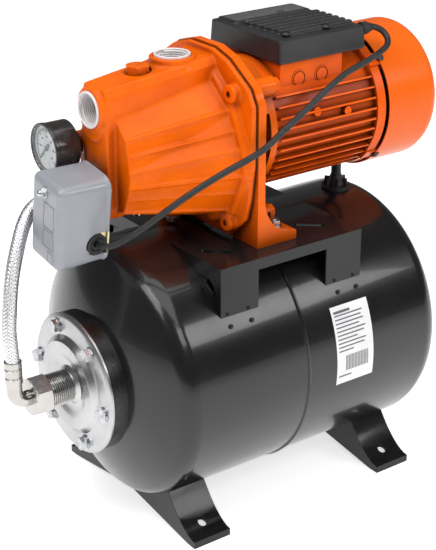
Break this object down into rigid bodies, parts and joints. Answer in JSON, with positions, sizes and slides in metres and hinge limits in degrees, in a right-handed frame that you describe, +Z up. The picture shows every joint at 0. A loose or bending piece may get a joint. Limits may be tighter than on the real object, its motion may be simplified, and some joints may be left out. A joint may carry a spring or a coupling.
{
  "type": "centrifugal water pump",
  "caption": "Self-priming jet pump with a finned electric motor on a horizontal pressure tank, with pressure switch, gauge, braided hose and bolted feet.",
  "frame": {"origin": "on the floor, midway along the tank between the hose elbow and the end of the fan cover, in the middle plane", "axes": "+X along the tank and the shaft from the suction port to the fan, -Y the side with the switch cable, +Z up"},
  "size_m": [0.504, 0.2812, 0.5006],
  "materials": {
    "tank_paint": "gloss",
    "bracket_paint": "gloss",
    "zinc_steel": "satin",
    "nickel": "satin",
    "braid": "satin",
    "orange_cast": "gloss",
    "orange_sheet": "gloss",
    "rubber_black": "matte",
    "plastic_black": "satin",
    "plastic_white": "satin",
    "plastic_grey": "satin",
    "brass": "satin",
    "yellow_zinc": "satin",
    "steel": "satin",
    "laminations": "matte",
    "copper": "gloss",
    "dial_white": "matte",
    "lens": "gloss",
    "ceramic": "matte"
  },
  "bodies": {
    "booster_set": {"tank_front_shell": "tank_paint", "tank_rear_shell": "tank_paint", "tank_neck_ring": "tank_paint", "tank_membrane": "rubber_black", "flange_plate": "zinc_steel", "flange_bolts": "zinc_steel", "hose_nut": "nickel", "hose_elbow": "nickel", "hose_ferrules": "nickel", "hose_tube": "braid", "hose_fitting": "nickel", "front_foot": "bracket_paint", "rear_foot": "bracket_paint", "air_valve": "brass", "valve_cap": "plastic_black", "near_bracket": "bracket_paint", "far_bracket": "bracket_paint", "motor_prop": "rubber_black", "pump_casing": "orange_cast", "port_inserts": "plastic_white", "priming_plug": "orange_cast", "drain_plug": "zinc_steel", "ejector_nozzle": "brass", "venturi_tube": "plastic_black", "diffuser": "plastic_black", "casing_gasket": "rubber_black", "casing_bolts": "zinc_steel", "lantern": "orange_cast", "foot_bolts": "zinc_steel", "seal_seat": "ceramic", "front_bearing": "steel", "rear_bearing": "steel", "stator_core": "laminations", "stator_windings": "copper", "motor_housing": "orange_cast", "rear_shield": "orange_cast", "fan_cover": "orange_sheet", "cover_screws": "zinc_steel", "terminal_lid": "plastic_black", "capacitor": "plastic_white", "terminal_block": "ceramic", "cable_gland": "rubber_black", "switch_cable": "rubber_black", "gauge_case": "plastic_black", "gauge_dial": "dial_white", "gauge_lens": "lens", "gauge_stem": "brass", "switch_cover": "plastic_grey", "cover_nut": "zinc_steel", "switch_base": "yellow_zinc", "range_spring": "steel", "switch_nipple": "brass", "switch_grommets": "rubber_black"},
    "rotor": {"rotor_shaft": "steel", "rotor_core": "laminations", "impeller": "brass", "fan": "plastic_black", "seal_head": "rubber_black"},
    "needle": {"gauge_needle": "plastic_black"},
    "switch_arm": {"switch_lever": "steel"}
  },
  "joints": [
    {"name": "rotor_spin", "type": "hinge", "parent": "booster_set", "child": "rotor", "pos_m": [0, 0, 0.406], "axis": [1, 0, 0], "continuous": true},
    {"name": "needle_turn", "type": "hinge", "parent": "booster_set", "child": "needle", "pos_m": [-0.17, 0.04, 0.404], "axis": [1, 0, 0], "range_deg": [0, 270], "stiffness_Nm_per_rad": 0.0002, "springref_deg": -17.19},
    {"name": "arm_tilt", "type": "hinge", "parent": "booster_set", "child": "switch_arm", "pos_m": [-0.167, -0.01159, 0.37273], "axis": [0, 0.9888, 0.1495], "range_deg": [0, 3], "stiffness_Nm_per_rad": 2, "springref_deg": -1.15}
  ]
}
